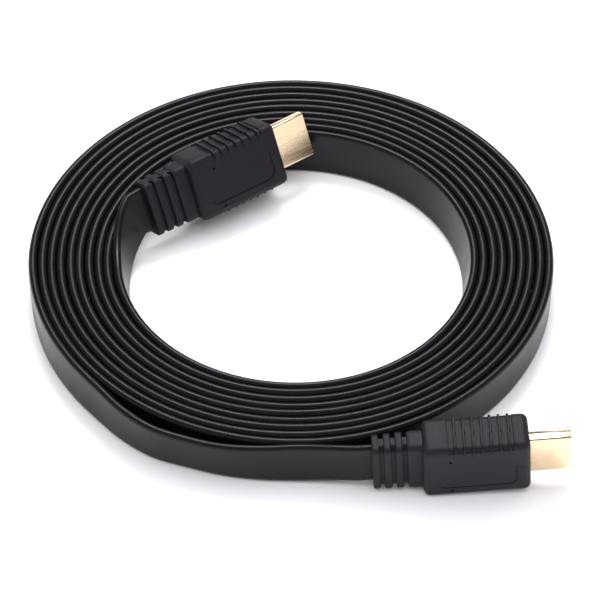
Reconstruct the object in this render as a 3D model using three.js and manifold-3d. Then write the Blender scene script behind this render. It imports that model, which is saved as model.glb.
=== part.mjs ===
// A flat audio and video cable, wound on edge into a spiral coil that lies on a table, with a
// moulded plug on each end. One plug leans back inside the ring and the other lies in front of it.
// Millimetres, +Z up. The finished part stands on z = 0, centred in x and y.

import * as THREE from 'three';
import { mergeVertices } from 'three/addons/utils/BufferGeometryUtils.js';
import Module from 'manifold-3d';

const wasm = await Module();
wasm.setup();

// Clearances
const SEAT_GAP = 0.3; // between two pieces that touch on the real cable
const CONTACT_GAP = 0.05; // between a contact and the wall that carries it

// Flat cable
const CABLE_WIDTH = 14.6; // stands upright in the coil
const CABLE_THICKNESS = 2.6;
const CABLE_EDGE_RADIUS = 0.9;

// Coil, as one turned ring whose grooves are the joints between its turns
const COIL_TURNS = 9;
const COIL_TOP_INNER_RADIUS = 53.0;
const COIL_TOP_OUTER_RADIUS = 76.0;
const COIL_INNER_LEAN_RUN = 2.0; // the turns lean, with their tops this far outside their bottoms
const COIL_OUTER_LEAN_RUN = 0.4;
const COIL_GROOVE_DEPTH = 0.7;
const COIL_GROOVE_SHARE = 0.5; // share of one turn's pitch that its groove takes
const COIL_SEGMENTS = 60;

// Plug's metal shell: a D section with two cut corners
const SHELL_WIDTH = 13.9;
const SHELL_THICKNESS = 4.45;
const SHELL_SIDE_HEIGHT = 2.7; // of the upright part of its short sides
const SHELL_CORNER_CUT = 1.3; // how far each cut corner runs in
const SHELL_CORNER_RADIUS = 0.6;
const SHELL_WALL = 0.35;
const SHELL_EXPOSED_LENGTH = 11.8;
const SHELL_SEAT_DEPTH = 6.0; // how far it goes into the moulded body

// Plug's insulator, inside the shell
const INSULATOR_RECESS = 0.8; // from the shell's mouth
const SLOT_WIDTH = 11.2;
const SLOT_HEIGHT = 2.1;
const SLOT_DEPTH = 8.5;

// Contacts along the slot's two walls
const CONTACTS_NEAR = 10;
const CONTACTS_FAR = 9;
const CONTACT_PITCH = 1.0;
const CONTACT_WIDTH = 0.45;
const CONTACT_THICKNESS = 0.3;
const CONTACT_LENGTH = 7.6;

// Plug's moulded body
const BODY_LENGTH = 30.2;
const BODY_WIDTH = 19.8;
const BODY_THICKNESS = 13.0;
const BODY_CORNER_RADIUS = 2.8;
const BODY_END_RADIUS = 2.2;

// Grip ridges on the body's two narrow sides
const RIDGE_COUNT = 7;
const RIDGE_PITCH = 2.53;
const RIDGE_WIDTH = 0.65;
const RIDGE_HEIGHT = 0.35;
const RIDGE_FRONT_OFFSET = 5.7; // from the body's front face to the first ridge's middle
const RIDGE_WRAP = 3.2; // how far a ridge reaches down over the body's edges

// Strain relief: slabs on a core, joined by a spine on the narrow sides
const SLAB_COUNT = 4;
const SLAB_LENGTH = 2.1;
const SLAB_FRONT_LENGTH = 4.1; // the slab next to the body
const SLAB_GAP = 1.17;
const SLAB_REAR_WIDTH = 17.2;
const SLAB_REAR_THICKNESS = 7.4;
const SLAB_FRONT_WIDTH = 17.8;
const SLAB_FRONT_THICKNESS = 8.0;
const SLAB_CORNER_RADIUS = 1.8;
const SLAB_EDGE_RADIUS = 0.4;
const SLAB_SINK = 2.4; // how far the core and the front slab run on into the body
const CORE_WIDTH = 15.4;
const CORE_THICKNESS = 5.6;
const SPINE_THICKNESS = 2.6;

// Outer plug, in front of the coil, by the middle of its body's front face
const OUTER_PLUG_REACH = 66.75; // to the right of the coil's middle
const OUTER_PLUG_ROOM = 1.15; // in front of the coil's outer wall
const OUTER_PLUG_HEIGHT = 11.7;
const OUTER_PLUG_YAW_DEG = 3.2;
const OUTER_PLUG_PITCH_DEG = 2.8;
const OUTER_PLUG_LEAN_DEG = -4.0;

// Inner plug, a chord of the ring: its rear and its tip each lie this far inside the coil's inner wall
const INNER_PLUG_REAR_AT_DEG = 155.7; // round the coil
const INNER_PLUG_REAR_ROOM = 5.05;
const INNER_PLUG_TIP_ROOM = 1.9;
const INNER_PLUG_HEIGHT = 15.2; // of the body's front face
const INNER_PLUG_PITCH_DEG = 2.6;
const INNER_PLUG_LEAN_DEG = 25.0;

// Routes of the two stretches that leave the coil, from the coil towards the plug: the angle round
// the coil, the room between the cable and the coil's wall, and the lift off the table
const LEAD_STRAIGHT = 3.5; // last stretch, in line with the plug
const LEAD_LIFT = 0.1; // keeps the leaning edges off the table
const LEAD_RISE_INNER = 1.0; // on the way up to the plug
const LEAD_RISE_OUTER = 0.4;
const INNER_LEAD_STEPS = 16;
const OUTER_LEAD_STEPS = 24;
const INNER_LEAD_LEAN_DEG = 10.0; // between its lean at the coil and at the plug
const OUTER_LEAD_LEAN_DEG = -4.0;
const INNER_LEAD_ROUTE = [
  { atDeg: 215.0, room: 0.8, lift: LEAD_LIFT },
  { atDeg: 200.3, room: 0.9, lift: LEAD_LIFT },
  { atDeg: 186.9, room: 0.9, lift: LEAD_LIFT },
  { atDeg: 174.8, room: 0.9, lift: LEAD_RISE_INNER },
];
const OUTER_LEAD_ROUTE = [
  { atDeg: 224.1, room: 0.8, lift: LEAD_LIFT },
  { atDeg: 232.1, room: 1.6, lift: LEAD_LIFT },
  { atDeg: 241.1, room: 2.2, lift: LEAD_LIFT },
  { atDeg: 250.1, room: 1.8, lift: LEAD_LIFT },
  { atDeg: 260.0, room: 1.4, lift: LEAD_LIFT },
  { atDeg: 270.0, room: 1.1, lift: LEAD_RISE_OUTER },
];

const CURVE_SEGMENTS = 4; // points on each rounded corner of a section

const jacket = { color: 0x232226, roughness: 0.45, metalness: 0.0 };
const overmouldPvc = { color: 0x2a282d, roughness: 0.75, metalness: 0.0 };
const goldPlate = { color: 0xe8c88c, roughness: 0.25, metalness: 1.0 };
const blackNylon = { color: 0x161617, roughness: 0.6, metalness: 0.0 };

function piece(name, geometry, finish) {
  const mesh = new THREE.Mesh(geometry, new THREE.MeshStandardMaterial(finish));
  mesh.name = name;
  return mesh;
}

// Solids from meshes, for joins and cuts
function solidOf(geometry) {
  const bare = geometry.clone();
  bare.deleteAttribute('normal');
  bare.deleteAttribute('uv');
  const merged = mergeVertices(bare, 1e-4);
  return new wasm.Manifold(new wasm.Mesh({
    numProp: 3,
    vertProperties: new Float32Array(merged.attributes.position.array),
    triVerts: new Uint32Array(merged.index.array),
  }));
}

function geometryOf(solid) {
  const mesh = solid.getMesh();
  const geometry = new THREE.BufferGeometry();
  geometry.setAttribute('position', new THREE.BufferAttribute(new Float32Array(mesh.vertProperties), 3));
  geometry.setIndex(new THREE.BufferAttribute(new Uint32Array(mesh.triVerts), 1));
  const faceted = geometry.toNonIndexed();
  faceted.computeVertexNormals();
  return faceted;
}

// A closed outline with each corner rounded, drawn by lines and short curves
function roundedShape(corners, radius) {
  const shape = new THREE.Shape();
  corners.forEach((corner, i) => {
    const before = corners[(i + corners.length - 1) % corners.length];
    const after = corners[(i + 1) % corners.length];
    const start = corner.clone().add(before.clone().sub(corner).setLength(radius));
    const end = corner.clone().add(after.clone().sub(corner).setLength(radius));
    if (i === 0) {
      shape.moveTo(start.x, start.y);
    } else {
      shape.lineTo(start.x, start.y);
    }
    shape.quadraticCurveTo(corner.x, corner.y, end.x, end.y);
  });
  shape.closePath();
  return shape;
}

function rectangleCorners(width, thickness) {
  return [
    new THREE.Vector2(-width / 2, -thickness / 2),
    new THREE.Vector2(width / 2, -thickness / 2),
    new THREE.Vector2(width / 2, thickness / 2),
    new THREE.Vector2(-width / 2, thickness / 2),
  ];
}

// Corners of the shell's D section, with every side moved in by inset
function shellCorners(inset) {
  const halfWidth = SHELL_WIDTH / 2;
  const halfThickness = SHELL_THICKNESS / 2;
  const shoulder = SHELL_SIDE_HEIGHT - halfThickness;
  const outer = [
    new THREE.Vector2(-halfWidth, -halfThickness),
    new THREE.Vector2(halfWidth, -halfThickness),
    new THREE.Vector2(halfWidth, shoulder),
    new THREE.Vector2(halfWidth - SHELL_CORNER_CUT, halfThickness),
    new THREE.Vector2(-halfWidth + SHELL_CORNER_CUT, halfThickness),
    new THREE.Vector2(-halfWidth, shoulder),
  ];
  return outer.map((corner, i) => {
    const before = outer[(i + outer.length - 1) % outer.length];
    const after = outer[(i + 1) % outer.length];
    const sideIn = corner.clone().sub(before).normalize();
    const sideOut = after.clone().sub(corner).normalize();
    const normalIn = new THREE.Vector2(-sideIn.y, sideIn.x);
    const normalOut = new THREE.Vector2(-sideOut.y, sideOut.x);
    const mitre = normalIn.clone().add(normalOut).divideScalar(1 + normalIn.dot(normalOut));
    return corner.clone().add(mitre.multiplyScalar(inset));
  });
}

// A point at an angle and a distance round the coil's middle
function pointRound(atDeg, radius, height) {
  const angle = THREE.MathUtils.degToRad(atDeg);
  return new THREE.Vector3(radius * Math.cos(angle), radius * Math.sin(angle), height);
}

// A bar along +X from x = from to x = to. The section's width stands along Z.
function bar(shape, from, to, endRadius = 0) {
  const geometry = new THREE.ExtrudeGeometry(shape, {
    depth: to - from - 2 * endRadius,
    steps: 1,
    curveSegments: CURVE_SEGMENTS,
    bevelEnabled: endRadius > 0,
    bevelThickness: endRadius,
    bevelSize: endRadius,
    bevelOffset: -endRadius,
    bevelSegments: 3,
  });
  geometry.rotateY(Math.PI / 2);
  geometry.translate(from + endRadius, 0, 0);
  return geometry;
}

function block(from, to, thickness, low, high) {
  const geometry = new THREE.BoxGeometry(to - from, thickness, high - low);
  geometry.translate((from + to) / 2, 0, (low + high) / 2);
  return geometry;
}

// Coil
const COIL_BOTTOM_INNER_RADIUS = COIL_TOP_INNER_RADIUS - COIL_INNER_LEAN_RUN;
const COIL_BOTTOM_OUTER_RADIUS = COIL_TOP_OUTER_RADIUS - COIL_OUTER_LEAN_RUN;
const INNER_WALL = (COIL_TOP_INNER_RADIUS + COIL_BOTTOM_INNER_RADIUS) / 2; // at mid height
const OUTER_WALL = (COIL_TOP_OUTER_RADIUS + COIL_BOTTOM_OUTER_RADIUS) / 2;

function coilGeometry() {
  const top = [];
  const bottom = [];
  for (let turn = 0; turn < COIL_TURNS; turn += 1) {
    const crownStart = (turn + COIL_GROOVE_SHARE / 2) / COIL_TURNS;
    const crownEnd = (turn + 1 - COIL_GROOVE_SHARE / 2) / COIL_TURNS;
    const marks = [[turn / COIL_TURNS, COIL_GROOVE_DEPTH], [crownStart, 0], [crownEnd, 0]];
    for (const [share, depth] of marks) {
      top.push([THREE.MathUtils.lerp(COIL_TOP_INNER_RADIUS, COIL_TOP_OUTER_RADIUS, share), depth]);
      bottom.push([THREE.MathUtils.lerp(COIL_BOTTOM_INNER_RADIUS, COIL_BOTTOM_OUTER_RADIUS, share), depth]);
    }
  }
  top.push([COIL_TOP_OUTER_RADIUS, COIL_GROOVE_DEPTH]);
  bottom.push([COIL_BOTTOM_OUTER_RADIUS, COIL_GROOVE_DEPTH]);
  const profile = [
    ...bottom.map(([radius, depth]) => new THREE.Vector2(radius, depth)),
    ...top.reverse().map(([radius, depth]) => new THREE.Vector2(radius, CABLE_WIDTH - depth)),
  ];
  profile.push(profile[0].clone());
  const geometry = new THREE.LatheGeometry(profile, COIL_SEGMENTS);
  geometry.rotateX(Math.PI / 2);
  return geometry;
}

// Plug pieces, in the plug's own frame: +X to the tip, +Z across the width, x = 0 on the body's front face
const RELIEF_LENGTH = (SLAB_COUNT - 1) * (SLAB_LENGTH + SLAB_GAP) + SLAB_FRONT_LENGTH;
const PLUG_REAR = -BODY_LENGTH - RELIEF_LENGTH;

function reliefSolids() {
  const solids = [];
  for (let slab = 0; slab < SLAB_COUNT; slab += 1) {
    const share = slab / (SLAB_COUNT - 1);
    const width = THREE.MathUtils.lerp(SLAB_REAR_WIDTH, SLAB_FRONT_WIDTH, share);
    const thickness = THREE.MathUtils.lerp(SLAB_REAR_THICKNESS, SLAB_FRONT_THICKNESS, share);
    const from = PLUG_REAR + slab * (SLAB_LENGTH + SLAB_GAP);
    const last = slab === SLAB_COUNT - 1;
    const to = from + (last ? SLAB_FRONT_LENGTH + SLAB_SINK : SLAB_LENGTH);
    const outline = roundedShape(rectangleCorners(width, thickness), SLAB_CORNER_RADIUS);
    solids.push(solidOf(bar(outline, from, to, SLAB_EDGE_RADIUS)));
  }
  const core = roundedShape(rectangleCorners(CORE_WIDTH, CORE_THICKNESS), SLAB_CORNER_RADIUS);
  const coreRear = PLUG_REAR + SLAB_LENGTH / 2;
  solids.push(solidOf(bar(core, coreRear, SLAB_SINK - BODY_LENGTH)));
  const spineHalf = SLAB_REAR_WIDTH / 2 - SLAB_EDGE_RADIUS;
  solids.push(solidOf(block(coreRear, SLAB_SINK - BODY_LENGTH, SPINE_THICKNESS, -spineHalf, spineHalf)));
  return solids;
}

function ridgeSolids() {
  const outline = roundedShape(
    rectangleCorners(BODY_WIDTH + 2 * RIDGE_HEIGHT, BODY_THICKNESS + RIDGE_HEIGHT),
    BODY_CORNER_RADIUS,
  );
  const frontMiddle = -RIDGE_FRONT_OFFSET;
  const solids = [];
  for (let i = 0; i < RIDGE_COUNT; i += 1) {
    const middle = frontMiddle - i * RIDGE_PITCH;
    const hoop = solidOf(bar(outline, middle - RIDGE_WIDTH / 2, middle + RIDGE_WIDTH / 2));
    const bareHeight = BODY_WIDTH / 2 - RIDGE_WRAP;
    const bareBand = solidOf(block(middle - RIDGE_WIDTH, middle + RIDGE_WIDTH, 2 * BODY_THICKNESS,
      -bareHeight, bareHeight));
    solids.push(hoop.subtract(bareBand));
  }
  return solids;
}

function overmouldGeometry() {
  const outline = roundedShape(rectangleCorners(BODY_WIDTH, BODY_THICKNESS), BODY_CORNER_RADIUS);
  let solid = solidOf(bar(outline, -BODY_LENGTH, 0, BODY_END_RADIUS));
  for (const added of [...reliefSolids(), ...ridgeSolids()]) {
    solid = solid.add(added);
  }
  const pocket = roundedShape(shellCorners(-SEAT_GAP), SHELL_CORNER_RADIUS);
  const pocketFloor = -SHELL_SEAT_DEPTH - SEAT_GAP;
  return geometryOf(solid.subtract(solidOf(bar(pocket, pocketFloor, BODY_END_RADIUS))));
}

function shellGeometry() {
  const outline = roundedShape(shellCorners(0), SHELL_CORNER_RADIUS);
  outline.holes.push(roundedShape(shellCorners(SHELL_WALL), SHELL_CORNER_RADIUS / 2));
  return bar(outline, -SHELL_SEAT_DEPTH, SHELL_EXPOSED_LENGTH);
}

function insulatorGeometry() {
  const outline = roundedShape(shellCorners(SHELL_WALL + SEAT_GAP), SHELL_CORNER_RADIUS / 2);
  const mouth = SHELL_EXPOSED_LENGTH - INSULATOR_RECESS;
  const solid = solidOf(bar(outline, -SHELL_SEAT_DEPTH, mouth));
  const slot = solidOf(block(mouth - SLOT_DEPTH, mouth + 1, SLOT_HEIGHT, -SLOT_WIDTH / 2, SLOT_WIDTH / 2));
  return geometryOf(solid.subtract(slot));
}

function contacts(plugName) {
  const made = [];
  const back = SHELL_EXPOSED_LENGTH - INSULATOR_RECESS - SLOT_DEPTH + CONTACT_GAP;
  const offset = SLOT_HEIGHT / 2 - CONTACT_GAP - CONTACT_THICKNESS / 2;
  const rows = [[CONTACTS_NEAR, -offset], [CONTACTS_FAR, offset]];
  for (const [count, y] of rows) {
    for (let i = 0; i < count; i += 1) {
      const number = String(made.length + 1).padStart(2, '0');
      const geometry = new THREE.BoxGeometry(CONTACT_LENGTH, CONTACT_THICKNESS, CONTACT_WIDTH);
      const contact = piece(`${plugName}_contact_${number}`, geometry, goldPlate);
      contact.position.set(back + CONTACT_LENGTH / 2, y, (i - (count - 1) / 2) * CONTACT_PITCH);
      made.push(contact);
    }
  }
  return made;
}

function plug(plugName, at, yawDeg, pitchDeg, leanDeg) {
  const group = new THREE.Group();
  group.position.copy(at);
  group.rotation.set(
    THREE.MathUtils.degToRad(-leanDeg),
    THREE.MathUtils.degToRad(-pitchDeg),
    THREE.MathUtils.degToRad(yawDeg),
    'ZYX',
  );
  group.add(
    piece(`${plugName}_overmould`, overmouldGeometry(), overmouldPvc),
    piece(`${plugName}_shell`, shellGeometry(), goldPlate),
    piece(`${plugName}_insulator`, insulatorGeometry(), blackNylon),
    ...contacts(plugName),
  );
  group.updateMatrixWorld(true);
  return group;
}

function outerPlugMade() {
  const at = new THREE.Vector3(OUTER_PLUG_REACH, -OUTER_WALL - OUTER_PLUG_ROOM, OUTER_PLUG_HEIGHT);
  return plug('outer_plug', at, OUTER_PLUG_YAW_DEG, OUTER_PLUG_PITCH_DEG, OUTER_PLUG_LEAN_DEG);
}

// The inner plug's rear, its tip and the coil's middle are a triangle, which gives the plug's yaw
function innerPlugMade() {
  const level = Math.cos(THREE.MathUtils.degToRad(INNER_PLUG_PITCH_DEG));
  const rearRadius = INNER_WALL - INNER_PLUG_REAR_ROOM;
  const tipRadius = INNER_WALL - INNER_PLUG_TIP_ROOM;
  const length = (SHELL_EXPOSED_LENGTH - PLUG_REAR) * level;
  const turn = Math.acos((rearRadius ** 2 + length ** 2 - tipRadius ** 2) / (2 * rearRadius * length));
  const yaw = THREE.MathUtils.degToRad(INNER_PLUG_REAR_AT_DEG - 180) + turn;
  const at = pointRound(INNER_PLUG_REAR_AT_DEG, rearRadius, INNER_PLUG_HEIGHT);
  at.x -= PLUG_REAR * level * Math.cos(yaw);
  at.y -= PLUG_REAR * level * Math.sin(yaw);
  return plug('inner_plug', at, THREE.MathUtils.radToDeg(yaw), INNER_PLUG_PITCH_DEG, INNER_PLUG_LEAN_DEG);
}

// A stretch of flat cable from the coil to the back of a plug, which it meets end on. Side is -1
// inside the ring and 1 outside it.
function leadGeometry(route, wall, side, plugGroup, steps, leanDeg) {
  const end = plugGroup.localToWorld(new THREE.Vector3(PLUG_REAR - SEAT_GAP, 0, 0));
  const straight = plugGroup.localToWorld(new THREE.Vector3(PLUG_REAR - SEAT_GAP - LEAD_STRAIGHT, 0, 0));
  const lying = route.map(({ atDeg, room, lift }) => (
    pointRound(atDeg, wall + side * (room + CABLE_THICKNESS / 2), CABLE_WIDTH / 2 + lift)
  ));
  const points = [...lying, straight, end];
  const turn = THREE.MathUtils.degToRad(-leanDeg);
  const corners = rectangleCorners(CABLE_WIDTH, CABLE_THICKNESS)
    .map((corner) => corner.rotateAround(new THREE.Vector2(0, 0), turn));
  return new THREE.ExtrudeGeometry(roundedShape(corners, CABLE_EDGE_RADIUS), {
    steps,
    curveSegments: 1,
    bevelEnabled: false,
    extrudePath: new THREE.CatmullRomCurve3(points, false, 'centripetal'),
  });
}

const outerPlug = outerPlugMade();
const innerPlug = innerPlugMade();
const innerLead = leadGeometry(INNER_LEAD_ROUTE, INNER_WALL, -1, innerPlug, INNER_LEAD_STEPS, INNER_LEAD_LEAN_DEG);
const outerLead = leadGeometry(OUTER_LEAD_ROUTE, OUTER_WALL, 1, outerPlug, OUTER_LEAD_STEPS, OUTER_LEAD_LEAN_DEG);

const cable = new THREE.Group();
cable.add(
  piece('coil', coilGeometry(), jacket),
  piece('inner_lead', innerLead, jacket),
  piece('outer_lead', outerLead, jacket),
  innerPlug,
  outerPlug,
);

// Stand the whole part on z = 0, centred in x and y
const box = new THREE.Box3().setFromObject(cable, true);
const middle = box.getCenter(new THREE.Vector3());
cable.position.set(-middle.x, -middle.y, -box.min.z);
const part = new THREE.Group();
part.add(cable);
part.updateMatrixWorld(true);

export default part;
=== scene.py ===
"""Looks of a flat, coiled audio and video cable with a moulded plug on each end.

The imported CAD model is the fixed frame. The cable, the moulded bodies, the metal shells and the
contacts are modelled here in finer detail, in the same frame, and stand for their CAD nodes.
Lengths are written in millimetres and turned to metres as each piece is placed.
"""

import logging
import math
from contextlib import contextmanager
from dataclasses import dataclass, field
from enum import Enum
from typing import Any, Callable, Iterator, Sequence

import bmesh
import bpy
import numpy as np
from mathutils import Matrix, Vector


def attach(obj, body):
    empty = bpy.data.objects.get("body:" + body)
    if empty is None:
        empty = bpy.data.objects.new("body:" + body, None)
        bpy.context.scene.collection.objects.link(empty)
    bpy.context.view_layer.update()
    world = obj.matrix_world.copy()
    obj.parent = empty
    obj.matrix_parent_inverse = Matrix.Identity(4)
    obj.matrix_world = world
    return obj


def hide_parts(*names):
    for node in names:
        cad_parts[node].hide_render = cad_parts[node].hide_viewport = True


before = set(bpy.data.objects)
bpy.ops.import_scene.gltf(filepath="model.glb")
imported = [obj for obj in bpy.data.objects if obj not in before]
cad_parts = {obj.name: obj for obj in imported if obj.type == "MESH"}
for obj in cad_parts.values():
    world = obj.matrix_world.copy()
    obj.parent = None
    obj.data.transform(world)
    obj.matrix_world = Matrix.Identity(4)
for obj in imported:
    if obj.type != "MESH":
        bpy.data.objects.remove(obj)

MM = 0.001
# From the coil's middle, where the sizes were measured, to the part's own frame
COIL_MIDDLE = Vector((-1.472, 4.749, 0.0))

log = logging.getLogger("flat_cable")

Point = tuple[float, float, float]
Spot = tuple[float, float]


class PlugName(Enum):
    """The two plugs, by the names that their CAD nodes start with."""

    OUTER = "outer_plug"
    INNER = "inner_plug"


class Face(Enum):
    """The two broad faces of a plug, by their side along its thickness."""

    NEAR = -1
    FAR = 1


class Pick(Enum):
    """What a selection in edit mode is made of."""

    EDGES = "EDGE"
    FACES = "FACE"


def linear(colour: str) -> tuple[float, float, float, float]:
    """Turns an sRGB hex colour into linear values.

    Args:
        colour: The colour as #RRGGBB.

    Returns:
        Red, green, blue and alpha, linear.
    """
    parts = [int(colour[i : i + 2], 16) / 255 for i in (1, 3, 5)]
    flat = [c / 12.92 if c <= 0.04045 else ((c + 0.055) / 1.055) ** 2.4 for c in parts]
    return (flat[0], flat[1], flat[2], 1.0)


def add_node(
    tree: bpy.types.NodeTree,
    kind: str,
    settings: dict[str, Any] | None = None,
    links: dict[str, bpy.types.NodeSocket] | None = None,
) -> bpy.types.Node:
    """Adds a node with its settings and what feeds it.

    Args:
        tree: The node tree.
        kind: The node's type name.
        settings: Values by the name of the node's property or of its input.
        links: Output sockets by the name of the input that each feeds.

    Returns:
        The new node.
    """
    node = tree.nodes.new(kind)
    for name, value in (settings or {}).items():
        if name in node.inputs:
            node.inputs[name].default_value = value
        else:
            setattr(node, name, value)
    for name, source in (links or {}).items():
        tree.links.new(source, node.inputs[name])
    return node


def new_material(name: str, settings: dict[str, Any]) -> tuple[bpy.types.Material, bpy.types.Node]:
    """Makes a material with one Principled shader.

    Args:
        name: The material's name.
        settings: The shader's constant values, by input name.

    Returns:
        The material and its shader node.
    """
    material = bpy.data.materials.new(name)
    material.use_nodes = True
    material.diffuse_color = settings["Base Color"]
    tree = material.node_tree
    tree.nodes.clear()
    shader = add_node(tree, "ShaderNodeBsdfPrincipled", settings)
    add_node(tree, "ShaderNodeOutputMaterial", links={"Surface": shader.outputs["BSDF"]})
    return material, shader


def tint(
    tree: bpy.types.NodeTree,
    shader: bpy.types.Node,
    factor: bpy.types.NodeSocket,
    colour: str,
    other: str,
) -> None:
    """Blends two colours into the shader's base colour.

    Args:
        tree: The node tree.
        shader: The shader that the blend feeds.
        factor: The share of the second colour.
        colour: The first colour as #RRGGBB.
        other: The second colour as #RRGGBB.
    """
    blend = add_node(tree, "ShaderNodeMix", {"data_type": "RGBA"}, {"Factor": factor})
    ends = [socket for socket in blend.inputs if socket.type == "RGBA"]
    for end, value in zip(ends, (colour, other)):
        end.default_value = linear(value)
    result = next(socket for socket in blend.outputs if socket.type == "RGBA")
    tree.links.new(result, shader.inputs["Base Color"])


@dataclass(frozen=True)
class ExtrudedPvcJacket:
    """Soft PVC drawn through a die: satin black, with faint die lines along its length.

    The eye sees a sharp sheen on the rounded edges and a dull grey one on the flat walls.
    """

    colour: str = "#0d0c0f"
    worn_colour: str = "#141116"
    gloss: float = 0.25  # fitted: below the usual 0.5, which mirrors the white floor too brightly
    roughness: float = 0.3
    line_spacing: float = 0.5  # mm between die lines, coarser than real so that they show
    waver_length: float = 18.0  # mm between swells in the sheen

    def material(self) -> bpy.types.Material:
        """Builds the material on the cable's own UV map, whose units are metres."""
        made, shader = new_material(
            "extruded satin PVC jacket",
            {
                "Base Color": linear(self.colour),
                "IOR": 1.45,
                "Specular IOR Level": self.gloss,
                "Roughness": self.roughness,
            },
        )
        tree = made.node_tree
        where = add_node(tree, "ShaderNodeUVMap", {"uv_map": "length"})
        across = 1 / (self.line_spacing * MM)
        lines_at = add_node(
            tree,
            "ShaderNodeMapping",
            {"Scale": (across * 0.012, across, 1.0)},
            {"Vector": where.outputs["UV"]},
        )
        lines = add_node(
            tree,
            "ShaderNodeTexNoise",
            {"Scale": 1.0, "Detail": 3.0, "Roughness": 0.6},
            {"Vector": lines_at.outputs["Vector"]},
        )
        swells = add_node(
            tree,
            "ShaderNodeTexNoise",
            {"Scale": 1 / (self.waver_length * MM), "Detail": 4.0, "Roughness": 0.55},
            {"Vector": where.outputs["UV"]},
        )
        sheen = add_node(
            tree,
            "ShaderNodeMapRange",
            {
                "From Min": 0.3,
                "From Max": 0.7,
                "To Min": self.roughness - 0.05,
                "To Max": self.roughness + 0.09,
            },
            {"Value": swells.outputs["Fac"]},
        )
        tree.links.new(sheen.outputs["Result"], shader.inputs["Roughness"])
        tint(tree, shader, swells.outputs["Fac"], self.colour, self.worn_colour)
        bump = add_node(
            tree,
            "ShaderNodeBump",
            {"Strength": 0.35, "Distance": 0.05 * MM},
            {"Height": lines.outputs["Fac"]},
        )
        tree.links.new(bump.outputs["Normal"], shader.inputs["Normal"])
        return made


@dataclass(frozen=True)
class GrainedPvcMoulding:
    """Flexible PVC moulded in a spark-eroded tool: matte, dark, with an even fine grain."""

    colour: str = "#100d13"
    light_colour: str = "#18141c"
    gloss: float = 0.34  # fitted, as the jacket's
    roughness: float = 0.55
    grain: float = 0.42  # mm, coarser than the tool's 0.1 mm so that it shows
    cloud: float = 5.0  # mm between soft patches

    def material(self) -> bpy.types.Material:
        """Builds the material on Object coordinates."""
        made, shader = new_material(
            "spark-grained moulded PVC",
            {
                "Base Color": linear(self.colour),
                "IOR": 1.45,
                "Specular IOR Level": self.gloss,
                "Roughness": self.roughness,
            },
        )
        tree = made.node_tree
        where = add_node(tree, "ShaderNodeTexCoord")
        grain = add_node(
            tree,
            "ShaderNodeTexNoise",
            {"Scale": 1 / (self.grain * MM), "Detail": 2.0, "Roughness": 0.7},
            {"Vector": where.outputs["Object"]},
        )
        cloud = add_node(
            tree,
            "ShaderNodeTexNoise",
            {"Scale": 1 / (self.cloud * MM), "Detail": 3.0, "Roughness": 0.6},
            {"Vector": where.outputs["Object"]},
        )
        tint(tree, shader, cloud.outputs["Fac"], self.colour, self.light_colour)
        sheen = add_node(
            tree,
            "ShaderNodeMapRange",
            {
                "From Min": 0.25,
                "From Max": 0.75,
                "To Min": self.roughness - 0.06,
                "To Max": self.roughness + 0.1,
            },
            {"Value": grain.outputs["Fac"]},
        )
        tree.links.new(sheen.outputs["Result"], shader.inputs["Roughness"])
        bump = add_node(
            tree,
            "ShaderNodeBump",
            {"Strength": 0.5, "Distance": 0.05 * MM},
            {"Height": grain.outputs["Fac"]},
        )
        tree.links.new(bump.outputs["Normal"], shader.inputs["Normal"])
        return made


@dataclass(frozen=True)
class GoldPlatedSheet:
    """Thin gold over nickel on rolled and folded steel sheet: pale, bright, with faint rolling lines."""

    turn: Matrix
    colour: str = "#f9e3c2"
    deep_colour: str = "#f1d4ac"
    roughness: float = 0.24
    line_spacing: float = 0.22  # mm between rolling lines

    def material(self) -> bpy.types.Material:
        """Builds the material with its lines along the plug, by a Mapping node turned to it."""
        made, shader = new_material(
            "gold-plated rolled sheet",
            {"Base Color": linear(self.colour), "Metallic": 1.0, "Roughness": self.roughness},
        )
        tree = made.node_tree
        where = add_node(tree, "ShaderNodeTexCoord")
        along = add_node(
            tree,
            "ShaderNodeMapping",
            {"vector_type": "POINT", "Rotation": self.turn.inverted().to_euler()},
            {"Vector": where.outputs["Object"]},
        )
        fine = 1 / (self.line_spacing * MM)
        stretched = add_node(
            tree,
            "ShaderNodeMapping",
            {"Scale": (fine * 0.03, fine, fine)},
            {"Vector": along.outputs["Vector"]},
        )
        lines = add_node(
            tree,
            "ShaderNodeTexNoise",
            {"Scale": 1.0, "Detail": 2.0, "Roughness": 0.5},
            {"Vector": stretched.outputs["Vector"]},
        )
        patches = add_node(
            tree,
            "ShaderNodeTexNoise",
            {"Scale": 1 / (4.0 * MM), "Detail": 2.0, "Roughness": 0.5},
            {"Vector": where.outputs["Object"]},
        )
        tint(tree, shader, patches.outputs["Fac"], self.colour, self.deep_colour)
        sheen = add_node(
            tree,
            "ShaderNodeMapRange",
            {
                "From Min": 0.3,
                "From Max": 0.7,
                "To Min": self.roughness - 0.04,
                "To Max": self.roughness + 0.08,
            },
            {"Value": lines.outputs["Fac"]},
        )
        tree.links.new(sheen.outputs["Result"], shader.inputs["Roughness"])
        bump = add_node(
            tree,
            "ShaderNodeBump",
            {"Strength": 0.06, "Distance": 0.02 * MM},
            {"Height": lines.outputs["Fac"]},
        )
        tree.links.new(bump.outputs["Normal"], shader.inputs["Normal"])
        return made


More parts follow.
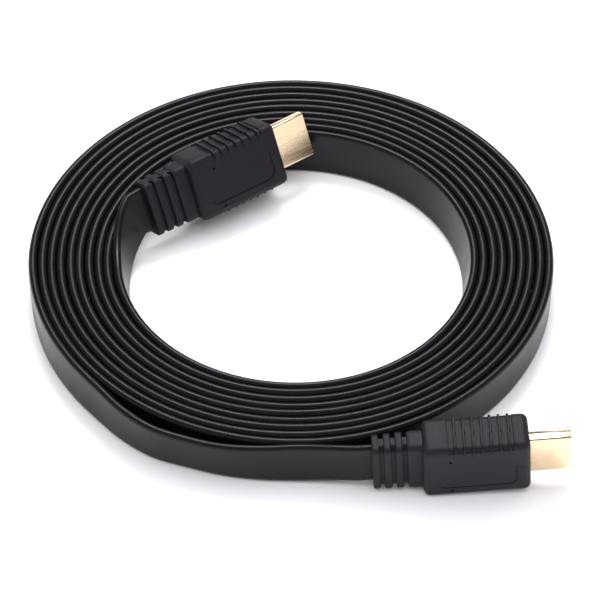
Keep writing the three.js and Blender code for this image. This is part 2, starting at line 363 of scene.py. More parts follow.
@dataclass(frozen=True)
class GoldPlatedContact:
    """Gold over stamped copper alloy: deeper in colour than the shell and a little duller."""

    colour: str = "#dcae62"
    roughness: float = 0.3

    def material(self) -> bpy.types.Material:
        """Builds the material, with a stamped grain in its sheen."""
        made, shader = new_material(
            "gold-plated stamped contact",
            {"Base Color": linear(self.colour), "Metallic": 1.0, "Roughness": self.roughness},
        )
        tree = made.node_tree
        where = add_node(tree, "ShaderNodeTexCoord")
        grain = add_node(
            tree,
            "ShaderNodeTexNoise",
            {"Scale": 1 / (0.3 * MM), "Detail": 2.0},
            {"Vector": where.outputs["Object"]},
        )
        sheen = add_node(
            tree,
            "ShaderNodeMapRange",
            {
                "From Min": 0.3,
                "From Max": 0.7,
                "To Min": self.roughness - 0.05,
                "To Max": self.roughness + 0.1,
            },
            {"Value": grain.outputs["Fac"]},
        )
        tree.links.new(sheen.outputs["Result"], shader.inputs["Roughness"])
        return made


@dataclass(frozen=True)
class GlassFilledNylon:
    """Black glass-filled nylon, injection moulded: dull, with a short fibrous mottle."""

    colour: str = "#151517"
    light_colour: str = "#202024"
    roughness: float = 0.5

    def material(self) -> bpy.types.Material:
        """Builds the material on Object coordinates."""
        made, shader = new_material(
            "glass-filled moulded nylon",
            {"Base Color": linear(self.colour), "IOR": 1.53, "Roughness": self.roughness},
        )
        tree = made.node_tree
        where = add_node(tree, "ShaderNodeTexCoord")
        mottle = add_node(
            tree,
            "ShaderNodeTexNoise",
            {"Scale": 1 / (0.5 * MM), "Detail": 3.0, "Distortion": 0.8},
            {"Vector": where.outputs["Object"]},
        )
        tint(tree, shader, mottle.outputs["Fac"], self.colour, self.light_colour)
        bump = add_node(
            tree,
            "ShaderNodeBump",
            {"Strength": 0.25, "Distance": 0.03 * MM},
            {"Height": mottle.outputs["Fac"]},
        )
        tree.links.new(bump.outputs["Normal"], shader.inputs["Normal"])
        return made


def select_only(*objects: bpy.types.Object) -> None:
    """Deselects everything, then selects these objects and makes the first one active."""
    bpy.ops.object.select_all(action="DESELECT")
    for obj in objects:
        obj.select_set(True)
    bpy.context.view_layer.objects.active = objects[0]


class Workpiece:
    """A mesh on the bench, in millimetres in the frame of the piece that it becomes."""

    def __init__(self, obj: bpy.types.Object, name: str) -> None:
        """Takes a new primitive's object and gives it its name."""
        self.obj = obj
        self.obj.name = name

    @classmethod
    def box(cls, name: str, low: Point, high: Point) -> "Workpiece":
        """Adds a cube primitive at its size and place.

        Args:
            name: The piece's name.
            low: Its lowest corner.
            high: Its highest corner.

        Returns:
            The new piece.
        """
        bpy.ops.object.select_all(action="DESELECT")
        bpy.ops.mesh.primitive_cube_add(size=1.0, location=[(a + b) / 2 for a, b in zip(low, high)])
        made = cls(bpy.context.object, name)
        made.obj.scale = [b - a for a, b in zip(low, high)]
        bpy.ops.object.transform_apply(location=True, rotation=True, scale=True)
        return made

    @classmethod
    def prism(cls, name: str, outline: Sequence[Spot], start: float, end: float) -> "Workpiece":
        """Adds a circle primitive, moves its points to an outline and extrudes it along X.

        Args:
            name: The piece's name.
            outline: The section's corners as (y, z).
            start: Where the prism starts along X.
            end: Where it ends.

        Returns:
            The new piece, closed at both ends.
        """
        bpy.ops.object.select_all(action="DESELECT")
        bpy.ops.mesh.primitive_circle_add(vertices=len(outline), radius=1.0, fill_type="NOTHING")
        made = cls(bpy.context.object, name)
        for vertex, (y, z) in zip(made.obj.data.vertices, outline):
            vertex.co = (start, y, z)
        with made.bench(Pick.EDGES, lambda edge: True):
            bpy.ops.mesh.edge_face_add()
            bpy.ops.mesh.extrude_region_move(TRANSFORM_OT_translate={"value": (end - start, 0.0, 0.0)})
            bpy.ops.mesh.select_all(action="SELECT")
            bpy.ops.mesh.normals_make_consistent(inside=False)
        return made

    @classmethod
    def cylinder(cls, name: str, radius: float, depth: float, at: Point, sides: int) -> "Workpiece":
        """Adds a cylinder primitive that lies along Y."""
        bpy.ops.object.select_all(action="DESELECT")
        bpy.ops.mesh.primitive_cylinder_add(
            vertices=sides, radius=radius, depth=depth, location=at, rotation=(math.pi / 2, 0.0, 0.0)
        )
        made = cls(bpy.context.object, name)
        bpy.ops.object.transform_apply(location=True, rotation=True, scale=True)
        return made

    @classmethod
    def rod(cls, name: str, route: Sequence[Point], radius: float) -> "Workpiece":
        """Adds a round rod along a route, from a curve that is turned into a mesh.

        Args:
            name: The piece's name.
            route: The points that the rod's middle passes.
            radius: The rod's radius.

        Returns:
            The new piece, closed at both ends.
        """
        line = bpy.data.curves.new(name, "CURVE")
        line.dimensions = "3D"
        line.bevel_depth = radius
        line.bevel_resolution = 2
        line.use_fill_caps = True
        spline = line.splines.new("POLY")
        spline.points.add(len(route) - 1)
        for point, place in zip(spline.points, route):
            point.co = (*place, 1.0)
        obj = bpy.data.objects.new(name, line)
        bpy.context.scene.collection.objects.link(obj)
        select_only(obj)
        bpy.ops.object.convert(target="MESH")
        return cls(bpy.context.object, name)

    @contextmanager
    def bench(self, kind: Pick, test: Callable[[Any], bool]) -> Iterator[None]:
        """Goes into edit mode with the edges or faces selected that pass a test."""
        select_only(self.obj)
        bpy.ops.object.mode_set(mode="EDIT")
        bpy.ops.mesh.select_mode(type=kind.value)
        bpy.ops.mesh.select_all(action="DESELECT")
        grid = bmesh.from_edit_mesh(self.obj.data)
        grid.normal_update()
        for item in grid.edges if kind is Pick.EDGES else grid.faces:
            if test(item):
                item.select_set(True)
        bmesh.update_edit_mesh(self.obj.data)
        yield
        bpy.ops.object.mode_set(mode="OBJECT")

    def round_edges(self, test: Callable[[Any], bool], radius: float, segments: int) -> None:
        """Bevels the edges that pass a test."""
        with self.bench(Pick.EDGES, test):
            bpy.ops.mesh.bevel(offset=radius, segments=segments, profile=0.5, affect="EDGES")

    def slice(self, at: Point, normal: Point, test: Callable[[Any], bool] = lambda face: True) -> None:
        """Cuts the faces that pass a test along a plane, with nothing removed."""
        with self.bench(Pick.FACES, test):
            bpy.ops.mesh.bisect(plane_co=at, plane_no=normal)

    def push(self, test: Callable[[Any], bool], height: float) -> None:
        """Extrudes the faces that pass a test along their normals, out or in."""
        with self.bench(Pick.FACES, test):
            bpy.ops.mesh.extrude_region_move(TRANSFORM_OT_translate={"value": (0.0, 0.0, 0.0)})
            bpy.ops.transform.shrink_fatten(value=height, use_even_offset=True)

    def modify(self, kind: str, **settings: Any) -> None:
        """Adds a modifier with its settings and applies it."""
        modifier = self.obj.modifiers.new(kind, kind)
        for name, value in settings.items():
            setattr(modifier, name, value)
        select_only(self.obj)
        bpy.ops.object.modifier_apply(modifier=modifier.name)

    def cut(self, tool: "Workpiece") -> None:
        """Takes another piece's volume out of this one, and the other piece away."""
        self.modify("BOOLEAN", operation="DIFFERENCE", solver="EXACT", object=tool.obj)
        bpy.data.objects.remove(tool.obj)

    def copy(self, name: str) -> "Workpiece":
        """Duplicates the piece, with a mesh of its own."""
        select_only(self.obj)
        bpy.ops.object.duplicate()
        return Workpiece(bpy.context.object, name)

    def resize(self, factors: Point, about: Point) -> None:
        """Scales the whole piece about a point."""
        with self.bench(Pick.FACES, lambda face: True):
            bpy.ops.transform.resize(value=factors, center_override=about)

    def move(self, by: Point) -> None:
        """Moves the whole piece."""
        with self.bench(Pick.FACES, lambda face: True):
            bpy.ops.transform.translate(value=by)

    def join(self, others: Sequence["Workpiece"]) -> None:
        """Joins other pieces into this one."""
        select_only(self.obj, *[other.obj for other in others])
        bpy.ops.object.join()

    def finish(
        self, place: Matrix, angle: float, material: bpy.types.Material, slot: str
    ) -> bpy.types.Object:
        """Places the finished piece in the frame and dresses it.

        Args:
            place: From the piece's own millimetres to the frame.
            angle: Edges flatter than this, in degrees, are shaded smooth.
            material: Its finish.
            slot: The name of a material slot, not used.

        Returns:
            The object, riding on the frame's one body.
        """
        select_only(self.obj)
        bpy.ops.object.shade_smooth_by_angle(angle=math.radians(angle))
        self.obj.data.transform(place)
        self.obj.data.update()
        self.obj.data.materials.clear()
        self.obj.data.materials.append(material)
        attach(self.obj, "root")
        triangles = sum(len(face.vertices) - 2 for face in self.obj.data.polygons)
        log.info("%s: %d triangles", self.obj.name, triangles)
        return self.obj


@dataclass(frozen=True)
class PlugPlace:
    """Where a plug lies: the middle of its body's front face, and its turns in degrees."""

    at: Point
    yaw: float
    pitch: float
    lean: float

    def turn(self) -> Matrix:
        """Gives the plug's rotation."""
        return (
            Matrix.Rotation(math.radians(self.yaw), 4, "Z")
            @ Matrix.Rotation(math.radians(-self.pitch), 4, "Y")
            @ Matrix.Rotation(math.radians(-self.lean), 4, "X")
        )

    def matrix(self) -> Matrix:
        """Goes from the plug's own millimetres to the frame's metres."""
        return Matrix.Scale(MM, 4) @ Matrix.Translation(Vector(self.at) + COIL_MIDDLE) @ self.turn()

    def on_axis(self, x: float) -> np.ndarray:
        """Gives a point on the plug's axis, in millimetres from the coil's middle."""
        return np.array(Vector(self.at) + self.turn() @ Vector((x, 0.0, 0.0)))


def parallel_to_x(edge: bmesh.types.BMEdge) -> bool:
    """Tells whether an edge runs along X."""
    run = edge.verts[1].co - edge.verts[0].co
    return abs(run.x) > 1e-3 and abs(run.y) < 1e-4 and abs(run.z) < 1e-4


def in_plane_x(at: float) -> Callable[[bmesh.types.BMEdge], bool]:
    """Makes a test for the edges that lie in the plane x = at."""
    return lambda edge: all(abs(vertex.co.x - at) < 1e-3 for vertex in edge.verts)


@dataclass
class Overmould:
    """The plug's moulded body with its grip ridges and its ribbed strain relief, one moulding.

    X runs to the plug's tip from the body's front face, Y through its thickness and Z across.
    """

    length: float = 30.2
    thickness: float = 13.0
    width: float = 19.8
    long_radius: float = 2.0
    end_radius: float = 1.9

    ridges: int = 7
    ridge_pitch: float = 2.53
    ridge_width: float = 0.62
    ridge_height: float = 0.34
    ridge_front: float = 5.7  # from the front face to the first ridge's middle
    ridge_foot: float = 6.9  # how far from the axis the upper ridges end, over the edges
    ridge_jog: float = 0.16  # between a ridge's two halves, at the mould's parting line
    grip_front: float = 4.5
    grip_rear: float = 22.9
    grip_foot: float = 8.3
    grip_depth: float = 0.4

    line_radius: float = 0.28
    line_route: tuple[Spot, ...] = (
        (-4.0, 2.0),
        (-4.0, -3.8),
        (-4.5, -5.0),
        (-5.6, -5.8),
        (-7.0, -6.0),
        (-23.6, -6.0),
        (-25.0, -5.5),
        (-25.7, -4.4),
    )
    pin_radius: float = 0.42
    pin_spots: tuple[Spot, ...] = ((-22.5, 5.0), (-22.3, -7.4))
    nick_route: tuple[Spot, ...] = ((-3.2, 0.9), (-2.5, 1.2), (-1.9, 0.8))
    nick_radius: float = 0.16

    slabs: int = 4
    slab_length: float = 2.1
    slab_front_length: float = 4.1  # the slab next to the body
    slab_gap: float = 1.17
    slab_rear: Spot = (7.4, 17.2)
    slab_front: Spot = (8.0, 17.8)
    slab_radius: float = 1.8
    slab_edge: float = 0.42
    slab_sink: float = 2.4
    core: Spot = (5.6, 15.4)
    spine: float = 3.0

    @property
    def relief_length(self) -> float:
        """Length of the strain relief behind the body."""
        return (self.slabs - 1) * (self.slab_length + self.slab_gap) + self.slab_front_length

    @property
    def rear(self) -> float:
        """Where the whole moulding ends along X."""
        return -self.length - self.relief_length

    def in_ridge(self, x: float, y: float) -> bool:
        """Tells whether a place lies on a ridge's band."""
        shift = math.copysign(self.ridge_jog / 2, y)
        for i in range(self.ridges):
            middle = -self.ridge_front - i * self.ridge_pitch + shift
            if abs(x - middle) < self.ridge_width / 2:
                return True
        return False

    def body(self) -> Workpiece:
        """Shapes the body from a cube, with its grips on the two narrow sides."""
        half_y, half_z = self.thickness / 2, self.width / 2
        made = Workpiece.box("body", (-self.length, -half_y, -half_z), (0.0, half_y, half_z))
        made.round_edges(parallel_to_x, self.long_radius, 6)
        made.round_edges(in_plane_x(0.0), self.end_radius, 5)
        made.round_edges(in_plane_x(-self.length), self.end_radius, 5)
        made.slice((0.0, 0.0, 0.0), (0.0, 1.0, 0.0))
        made.slice((0.0, 0.0, self.ridge_foot), (0.0, 0.0, 1.0))
        for x in (-self.grip_front, -self.grip_rear):
            made.slice((x, 0.0, 0.0), (1.0, 0.0, 0.0), self.on_narrow_side)
        for i in range(self.ridges):
            for edge in (-0.5, 0.5):
                for half in (-1.0, 1.0):
                    x = -self.ridge_front - i * self.ridge_pitch + edge * self.ridge_width
                    made.slice(
                        (x + half * self.ridge_jog / 2, 0.0, 0.0),
                        (1.0, 0.0, 0.0),
                        lambda face, half=half: self.on_narrow_side(face)
                        and face.calc_center_median().y * half > 0,
                    )
        made.push(self.is_ridge, self.ridge_height)
        made.push(self.is_valley, -self.grip_depth)
        made.modify("BEVEL", width=0.18, segments=3, limit_method="ANGLE", angle_limit=math.radians(40))
        return made

    def on_narrow_side(self, face: bmesh.types.BMFace) -> bool:
        """Tells whether a face lies on the upper side, its edges too, or on the flat of the lower one."""
        return face.calc_center_median().z > self.ridge_foot - 0.01 or face.normal.z < -0.99

    def is_ridge(self, face: bmesh.types.BMFace) -> bool:
        """Tells whether a face lies on a ridge."""
        middle = face.calc_center_median()
        return self.on_narrow_side(face) and self.in_ridge(middle.x, middle.y)

    def is_valley(self, face: bmesh.types.BMFace) -> bool:
        """Tells whether a face lies between ridges, inside the grip."""
        middle = face.calc_center_median()
        inside = -self.grip_rear < middle.x < -self.grip_front
        flat = abs(face.normal.x) < 0.2
        broad = self.on_narrow_side(face) and abs(middle.z) > self.grip_foot
        return inside and flat and broad and not self.in_ridge(middle.x, middle.y)

    def engrave(self, body: Workpiece) -> None:
        """Cuts the fine line, the ejector pins' marks and a small nick into both broad faces."""
        for face in Face:
            y = face.value * self.thickness / 2
            for route, radius in ((self.line_route, self.line_radius), (self.nick_route, self.nick_radius)):
                body.cut(Workpiece.rod("line", [(x, y, z) for x, z in route], radius))
            for x, z in self.pin_spots:
                body.cut(Workpiece.cylinder("pin", self.pin_radius, 1.0, (x, y, z), 20))

    def relief(self) -> list[Workpiece]:
        """Shapes one slab and copies it, then adds the core and the spine that join the slabs."""
        half_y, half_z = self.slab_rear[0] / 2, self.slab_rear[1] / 2
        low = (self.rear, -half_y, -half_z)
        first = Workpiece.box("slab", low, (self.rear + self.slab_length, half_y, half_z))
        first.round_edges(parallel_to_x, self.slab_radius, 5)
        ends = (in_plane_x(self.rear), in_plane_x(self.rear + self.slab_length))
        first.round_edges(lambda edge: any(test(edge) for test in ends), self.slab_edge, 3)
        made = [first]
        for i in range(1, self.slabs):
            share = i / (self.slabs - 1)
            slab = first.copy(f"slab_{i}")
            grow = [1 + share * (front / rear - 1) for rear, front in zip(self.slab_rear, self.slab_front)]
            last = i == self.slabs - 1
            stretch = (self.slab_front_length + self.slab_sink) / self.slab_length if last else 1.0
            slab.resize((stretch, grow[0], grow[1]), (self.rear, 0.0, 0.0))
            slab.move((i * (self.slab_length + self.slab_gap), 0.0, 0.0))
            made.append(slab)
        start, end = self.rear + self.slab_length / 2, self.slab_sink - self.length
        core = Workpiece.box(
            "core", (start, -self.core[0] / 2, -self.core[1] / 2), (end, self.core[0] / 2, self.core[1] / 2)
        )
        core.round_edges(parallel_to_x, self.slab_radius, 4)
        reach = half_z - 0.12
        spine = Workpiece.box("spine", (start, -self.spine / 2, -reach), (end, self.spine / 2, reach))
        spine.round_edges(parallel_to_x, 0.35, 3)
        return [*made, core, spine]

    def build(self, seat: Workpiece) -> Workpiece:
        """Builds the moulding.

        Args:
            seat: The shape of the pocket for the metal shell, used up by the cut.

        Returns:
            The moulding, in the plug's own frame.
        """
        body = self.body()
        self.engrave(body)
        body.cut(seat)
        body.join(self.relief())
        return body


@dataclass
class Shell:
    """The plug's metal shell: sheet folded to a D section with two cut corners, open at the tip."""

    width: float = 13.9
    thickness: float = 4.45
    side_height: float = 2.7
    corner_cut: float = 1.3
    fold_radius: float = 0.55
    wall: float = 0.35
    exposed: float = 11.8
    seated: float = 6.0
    seat_gap: float = 0.12

    def outline(self, out: float = 0.0) -> list[Spot]:
        """Gives the section's corners as (y, z), with every side moved out."""
        half_w, half_t = self.width / 2 + out, self.thickness / 2 + out
        shoulder = self.side_height - self.thickness / 2
        cut = self.corner_cut - out * 0.3
        return [
            (-half_t, -half_w),
            (-half_t, half_w),
            (shoulder, half_w),
            (half_t, half_w - cut),
            (half_t, -half_w + cut),
            (shoulder, -half_w),
        ]

    def seat(self) -> Workpiece:
        """Gives the shape of the pocket that it goes into, a little wider all round."""
        made = Workpiece.prism("seat", self.outline(self.seat_gap), -self.seated, 3.0)
        made.round_edges(parallel_to_x, self.fold_radius, 4)
        return made

    def build(self) -> Workpiece:
        """Folds the shell: a closed prism, rounded, opened at both ends and given its wall."""
        made = Workpiece.prism("shell", self.outline(), -self.seated, self.exposed)
        made.round_edges(parallel_to_x, self.fold_radius, 5)
        with made.bench(Pick.FACES, lambda face: abs(face.normal.x) > 0.9):
            bpy.ops.mesh.delete(type="FACE")
        made.modify("SOLIDIFY", thickness=self.wall, offset=-1.0, use_even_offset=True)
        made.modify("BEVEL", width=0.09, segments=2, limit_method="ANGLE", angle_limit=math.radians(50))
        half = self.thickness / 2
        low, high = (-self.seated - 1, half - 0.16, -0.05), (self.exposed + 1, half + 1, 0.05)
        made.cut(Workpiece.box("seam", low, high))
        return made


@dataclass
class ContactRows:
    """The nineteen contacts along the two walls of the plug's slot."""

    near: int = 10
    far: int = 9
    pitch: float = 1.0
    width: float = 0.45
    thickness: float = 0.3
    length: float = 7.6
    start: float = 2.55
    offset: float = 0.85

    def build(self) -> Workpiece:
        """Shapes one contact with a rounded nose and copies it along both walls."""
        first = Workpiece.box(
            "contact",
            (self.start, -self.thickness / 2, -self.width / 2),
            (self.start + self.length, self.thickness / 2, self.width / 2),
        )
        nose = in_plane_x(self.start + self.length)
        first.round_edges(nose, 0.12, 3)
        made = []
        for face, count in ((Face.NEAR, self.near), (Face.FAR, self.far)):
            for i in range(count):
                contact = first.copy("contact_copy")
                contact.move((0.0, face.value * self.offset, (i - (count - 1) / 2) * self.pitch))
                made.append(contact)
        bpy.data.objects.remove(first.obj)
        made[0].join(made[1:])
        return made[0]


@dataclass
class Plug:
    """One plug: its moulding, its shell, its insulator and its contacts."""

    name: PlugName
    place: PlugPlace
    overmould: Overmould = field(default_factory=Overmould)
    shell: Shell = field(default_factory=Shell)
    contacts: ContactRows = field(default_factory=ContactRows)

    def build(self, moulding: bpy.types.Material, nylon: bpy.types.Material) -> list[bpy.types.Object]:
        """Builds and dresses the plug's pieces.

        Args:
            moulding: The finish of the moulded body.
            nylon: The finish of the insulator.

        Returns:
            The pieces that go with the cable.
        """
        label, where = self.name.value, self.place.matrix()
        body = self.overmould.build(self.shell.seat())
        body.obj.name = f"{label}_moulding"
        body.finish(where, 32, moulding, "plug_overmould")
        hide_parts(f"{label}_overmould")

        sheet = self.shell.build()
        sheet.obj.name = f"{label}_sheet_shell"
        plate = GoldPlatedSheet(turn=self.place.turn()).material()
        sheet.finish(where, 32, plate, "plug_shell")
        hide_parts(f"{label}_shell")

        rows = self.contacts.build()
        rows.obj.name = f"{label}_contact_rows"
        rows.finish(where, 32, GoldPlatedContact().material(), "plug_contacts")
        count = self.contacts.near + self.contacts.far
        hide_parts(*[f"{label}_contact_{i:02d}" for i in range(1, count + 1)])

        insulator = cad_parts[f"{label}_insulator"]
        insulator.data.materials.clear()
        insulator.data.materials.append(nylon)
        log.info("%s: kept with a new finish", insulator.name)
        return [body.obj, sheet.obj, rows.obj, insulator]


def smooth_line(knots: np.ndarray, spacing: float) -> np.ndarray:
    """Runs a smooth curve through knots and samples it evenly.

    Args:
        knots: Rows of x, y, z and lean.
        spacing: Distance between samples, in the knots' own unit.

    Returns:
        Rows of x, y, z and lean along the curve.
    """
    gaps = np.linalg.norm(np.diff(knots[:, :3], axis=0), axis=1)
    along = np.concatenate([[0.0], np.cumsum(gaps)])
    chords = np.diff(knots, axis=0) / gaps[:, None]
    slopes = np.empty_like(knots)
    before, after = gaps[:-1, None], gaps[1:, None]
    slopes[1:-1] = (chords[:-1] * after + chords[1:] * before) / (before + after)
    slopes[0], slopes[-1] = chords[0], chords[-1]
    places = np.linspace(0.0, along[-1], int(along[-1] / spacing) + 1)
    i = np.clip(np.searchsorted(along, places, side="right") - 1, 0, len(gaps) - 1)
    h = gaps[i][:, None]
    t = ((places - along[i]) / gaps[i])[:, None]
    return (
        (2 * t**3 - 3 * t**2 + 1) * knots[i]
        + (t**3 - 2 * t**2 + t) * h * slopes[i]
        + (3 * t**2 - 2 * t**3) * knots[i + 1]
        + (t**3 - t**2) * h * slopes[i + 1]
    )


@dataclass
class FlatCable:
    """One length of flat cable: out of the inner plug, round the coil and into the outer plug.

    It stands on edge, and lean is how far its top edge tips away from the coil's middle. The real
    section is 14.6 by 2.6 mm.
    """

    inner: PlugPlace
    outer: PlugPlace
    plug_rear: float
    width: float = 14.34
    thickness: float = 2.5
    edge_radius: float = 1.2
    first_angle: float = 184.0
    last_angle: float = 3420.0
    inner_radius: float = 50.5  # of the first turn's inner face at its top
    top_pitch: float = 2.72
    off_centre: Spot = (0.64, -1.17)  # how far the turns' middle lies from the coil's
    inner_lean: float = 9.5
    outer_lean: float = 1.5
    spacing: float = 2.6
    length: float = 3.8  # metres
    # Not a real size, and it says nothing more. This value passes, and says nothing
    # more.
    declared_diameter: float = 0.0083  # metres
    inner_lead: tuple[tuple[float, float, float, float], ...] = (
        (-47.9, 12.6, 11.2, 20.0),
        (-49.5, 5.5, 8.6, 13.5),
    )
    outer_lead: tuple[tuple[float, float, float, float], ...] = (
        (-73.35, -18.29, 7.3, 1.5),
        (-69.28, -30.99, 7.3, 1.0),
        (-62.84, -43.19, 7.3, 0.6),
        (-54.1, -54.8, 7.3, 1.5),
        (-48.05, -61.95, 7.3, 4.4),
        (-37.8, -69.95, 7.3, 8.3),
        (-30.9, -72.75, 7.35, 10.2),
        (-19.7, -76.3, 7.4, 9.6),
        (-8.6, -77.7, 7.5, 5.7),
        (2.5, -77.95, 7.9, 2.2),
        (8.1, -78.4, 8.4, 3.4),
        (13.7, -79.1, 9.0, 4.6),
    )

    def coil_knots(self) -> list[tuple[float, float, float, float]]:
        """Gives knots every ten degrees round the coil, with the small waver of a hand-wound one."""
        knots = []
        turn_span = self.last_angle - self.first_angle
        steps = int(turn_span / 10)
        for i in range(steps + 1):
            angle = self.first_angle + turn_span * i / steps
            a = math.radians(angle)
            lean = self.inner_lean + (self.outer_lean - self.inner_lean) * i / steps
            tip = math.radians(lean)
            radius = self.inner_radius + self.top_pitch * (angle - 180) / 360
            radius += self.off_centre[0] * math.cos(a) + self.off_centre[1] * math.sin(a) + self.thickness / 2
            radius += 0.07 * math.sin(1.37 * a + 0.4) + 0.05 * math.sin(2.61 * a + 1.9)
            radius -= self.width / 2 * math.sin(tip)
            corner = self.edge_radius
            height = (self.width / 2 - corner) * math.cos(tip) + corner
            height += (self.thickness / 2 - corner) * math.sin(tip) + 0.09 * (1 + math.sin(0.61 * a + 1.0))
            knots.append((radius * math.cos(a), radius * math.sin(a), height, lean))
        return knots

    def stations(self) -> np.ndarray:
        """Gives rows of x, y, z and lean along the whole cable, in millimetres and degrees."""
        rear = self.plug_rear
        inner = [(*self.inner.on_axis(x), self.inner.lean) for x in (rear + 1.5, rear, rear - 3.5)]
        outer = [(*self.outer.on_axis(x), -self.outer.lean) for x in (rear - 3.5, rear, rear + 1.5)]
        knots = [*inner, *self.inner_lead, *self.coil_knots(), *self.outer_lead, *outer]
        return smooth_line(np.array(knots), self.spacing)

    def section(self) -> list[Spot]:
        """Gives the section's outline as (across the thickness, along the width), counterclockwise."""
        half_t, half_w, corner = self.thickness / 2, self.width / 2, self.edge_radius
        outline: list[Spot] = []
        middles = ((1, -1, -90), (1, 1, 0), (-1, 1, 90), (-1, -1, 180))
        for sign_t, sign_w, start in middles:
            for step in range(7):
                a = math.radians(start + 15 * step)
                outline.append(
                    (
                        sign_t * (half_t - corner) + corner * math.cos(a),
                        sign_w * (half_w - corner) + corner * math.sin(a),
                    )
                )
            if start in (-90, 90):
                outline.append((sign_t * half_t, sign_w * (half_w - corner - 0.5)))
                outline.append((sign_t * half_t, -sign_w * (half_w - corner - 0.5)))
        return outline

    def build(self) -> tuple[bpy.types.Object, np.ndarray]:
        """Sweeps the section along the stations.

        Returns:
            The cable's object and its centreline in metres.
        """
        rows = self.stations()
        middle = rows[:, :3] + np.array(COIL_MIDDLE)
        along = np.gradient(middle, axis=0)
        along /= np.linalg.norm(along, axis=1)[:, None]
        out = np.cross(along, [0.0, 0.0, 1.0])
        out /= np.linalg.norm(out, axis=1)[:, None]
        up = np.cross(out, along)
        lean = np.radians(rows[:, 3])[:, None]
        wide = np.cos(lean) * up + np.sin(lean) * out
        thick = np.cos(lean) * out - np.sin(lean) * up

        outline = np.array(self.section())
        across, upward = outline[:, 0, None] * thick[:, None], outline[:, 1, None] * wide[:, None]
        rings = middle[:, None] + across + upward
        count, sides = len(rows), len(outline)
        quads = [
            (r * sides + s, r * sides + (s + 1) % sides, (r + 1) * sides + (s + 1) % sides, (r + 1) * sides + s)
            for r in range(count - 1)
            for s in range(sides)
        ]
        caps = [tuple(reversed(range(sides))), tuple((count - 1) * sides + s for s in range(sides))]
        mesh = bpy.data.meshes.new("flat_cable")
        mesh.from_pydata((rings.reshape(-1, 3) * MM).tolist(), [], quads + caps)
        self.lay_map(mesh, rings, count, sides)
        obj = bpy.data.objects.new("flat_cable", mesh)
        bpy.context.scene.collection.objects.link(obj)
        select_only(obj)
        bpy.ops.object.shade_smooth_by_angle(angle=math.radians(40))
        return obj, middle * MM

    def lay_map(self, mesh: bpy.types.Mesh, rings: np.ndarray, count: int, sides: int) -> None:
        """Lays a UV map whose U runs along the cable and V round its section, both in metres."""
        steps = np.linalg.norm(np.diff(rings.mean(axis=1), axis=0), axis=1)
        u = np.concatenate([[0.0], np.cumsum(steps)]) * MM
        ring = rings[0]
        sides_long = np.linalg.norm(np.diff(np.vstack([ring, ring[:1]]), axis=0), axis=1)
        v = np.concatenate([[0.0], np.cumsum(sides_long)]) * MM
        layer = mesh.uv_layers.new(name="length")
        values = np.zeros((len(mesh.loops), 2), np.float32)
        walls = (count - 1) * sides
        r, s = np.divmod(np.arange(walls), sides)
        ends = ((r, s), (r, s + 1), (r + 1, s + 1), (r + 1, s))
        corners = np.stack([np.stack([u[i], v[j]], 1) for i, j in ends], 1)
        values[: walls * 4] = corners.reshape(-1, 2)
        layer.data.foreach_set("uv", values.ravel())

    def dress(self, obj: bpy.types.Object, path: np.ndarray) -> None:
        """Gives the cable its finish and its place on the frame, and logs its length.

        Args:
            obj: The cable's object.
            path: Its centreline, in metres.
        """
        obj.data.materials.append(ExtrudedPvcJacket().material())
        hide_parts("coil", "inner_lead", "outer_lead")
        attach(obj, "root")
        real = float(np.linalg.norm(np.diff(path, axis=0), axis=1).sum())
        log.info("%s: %.3f m long, %d rings", obj.name, real, len(path))


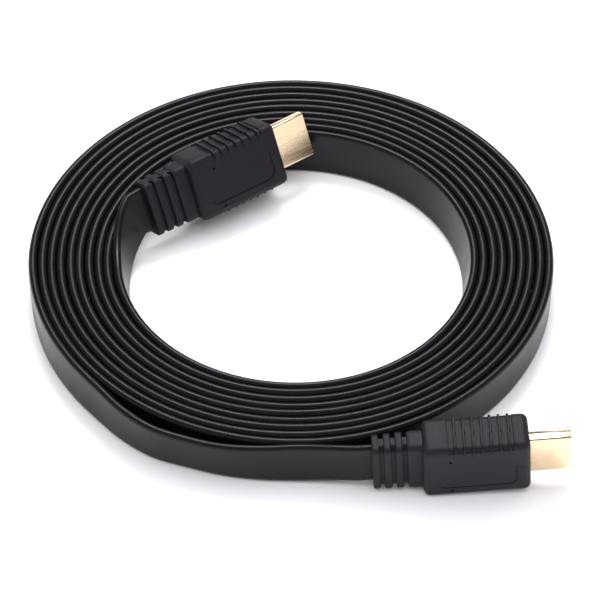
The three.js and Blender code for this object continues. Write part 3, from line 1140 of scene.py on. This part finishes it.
@dataclass
class Studio:
    """The camera at the photograph's angle, a white floor and soft light from large panels."""

    elevation: float = 45.0
    distance: float = 1257.0
    focal_pixels: float = 4298.9
    image_pixels: float = 600.0
    sensor: float = 36.0
    aim: Point = (0.0, 0.0, 15.0)
    aim_right: float = -8.7  # pixels from the picture's middle to the aim
    aim_up: float = 50.0

    def camera(self) -> None:
        """Places the camera."""
        tip = math.radians(self.elevation)
        forward = Vector((0.0, math.cos(tip), -math.sin(tip)))
        up = Vector((0.0, math.sin(tip), math.cos(tip)))
        right = Vector((1.0, 0.0, 0.0))
        aside, above = self.aim_right / self.focal_pixels, self.aim_up / self.focal_pixels
        sight = forward + right * aside + up * above
        data = bpy.data.cameras.new("camera")
        data.sensor_width = self.sensor
        data.lens = self.focal_pixels / self.image_pixels * self.sensor
        data.clip_start, data.clip_end = 0.05, 50.0
        obj = bpy.data.objects.new("camera", data)
        obj.location = (Vector(self.aim) - sight * self.distance + COIL_MIDDLE) * MM
        obj.rotation_euler = (math.pi / 2 - tip, 0.0, 0.0)
        bpy.context.scene.collection.objects.link(obj)
        bpy.context.scene.camera = obj

    def panel(self, name: str, at: Point, size: Spot, watts: float, mirrored: bool) -> None:
        """Adds a rectangular soft light that faces the coil.

        Args:
            name: The light's name.
            at: Its place in metres.
            size: Its sides in metres.
            watts: Its power.
            mirrored: Whether shiny pieces reflect it.
        """
        data = bpy.data.lights.new(name, "AREA")
        data.shape = "RECTANGLE"
        data.size, data.size_y = size
        data.energy = watts
        obj = bpy.data.objects.new(name, data)
        obj.location = at
        obj.rotation_euler = (-Vector(at)).to_track_quat("-Z", "Y").to_euler()
        obj.visible_glossy = mirrored
        bpy.context.scene.collection.objects.link(obj)

    def floor(self) -> None:
        """Lays a wide sheet of white paper."""
        bpy.ops.object.select_all(action="DESELECT")
        bpy.ops.mesh.primitive_plane_add(size=8.0, location=(0.0, 0.0, 0.0))
        sheet = bpy.context.object
        sheet.name = "floor"
        material, _ = new_material(
            "matte white paper",
            {"Base Color": linear("#f7f6f9"), "Roughness": 0.9, "Specular IOR Level": 0.1},
        )
        sheet.data.materials.append(material)

    def surroundings(self) -> None:
        """Makes a room that is bright behind the camera and dark beyond the coil and overhead."""
        world = bpy.data.worlds.new("studio")
        world.use_nodes = True
        tree = world.node_tree
        tree.nodes.clear()
        where = add_node(tree, "ShaderNodeTexCoord")
        split = add_node(tree, "ShaderNodeSeparateXYZ", links={"Vector": where.outputs["Generated"]})
        horizon = add_node(
            tree,
            "ShaderNodeMapRange",
            {"From Min": -0.4, "From Max": 0.3, "To Min": 1.6, "To Max": 0.08},
            {"Value": split.outputs["Y"]},
        )
        fade = add_node(
            tree,
            "ShaderNodeMapRange",
            {"From Min": 0.1, "From Max": 0.6, "To Max": 0.15},
            {"Value": split.outputs["Z"], "To Min": horizon.outputs["Result"]},
        )
        sky = add_node(
            tree,
            "ShaderNodeBackground",
            {"Color": (0.97, 0.96, 1.0, 1.0)},
            {"Strength": fade.outputs["Result"]},
        )
        add_node(tree, "ShaderNodeOutputWorld", links={"Surface": sky.outputs["Background"]})
        bpy.context.scene.world = world

    def build(self) -> None:
        """Sets up the camera, the floor and the light."""
        self.camera()
        self.floor()
        self.surroundings()
        self.panel("overhead_panel", (0.0, 0.0, 1.3), (2.4, 2.4), 38.0, False)
        self.panel("back_panel", (0.0, 1.0, 1.53), (0.8, 0.55), 26.0, True)
        bpy.context.scene.view_settings.view_transform = "Standard"
        log.info("studio: camera, floor and light")


def main() -> None:
    """Builds the scene in order."""
    logging.basicConfig(level=logging.INFO, format="%(message)s")
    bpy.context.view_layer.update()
    Studio().build()
    outer = Plug(PlugName.OUTER, PlugPlace(at=(66.75, -76.95, 11.7), yaw=3.2, pitch=2.8, lean=-4.0))
    inner = Plug(PlugName.INNER, PlugPlace(at=(-5.942, 43.483, 15.2), yaw=33.253, pitch=2.6, lean=25.0))
    cable = FlatCable(inner.place, outer.place, outer.overmould.rear)
    cord, path = cable.build()
    moulding, nylon = GrainedPvcMoulding().material(), GlassFilledNylon().material()
    ends = [*outer.build(moulding, nylon), *inner.build(moulding, nylon)]
    cable.dress(cord, path)
    bpy.context.view_layer.update()


if __name__ == "__main__":
    main()
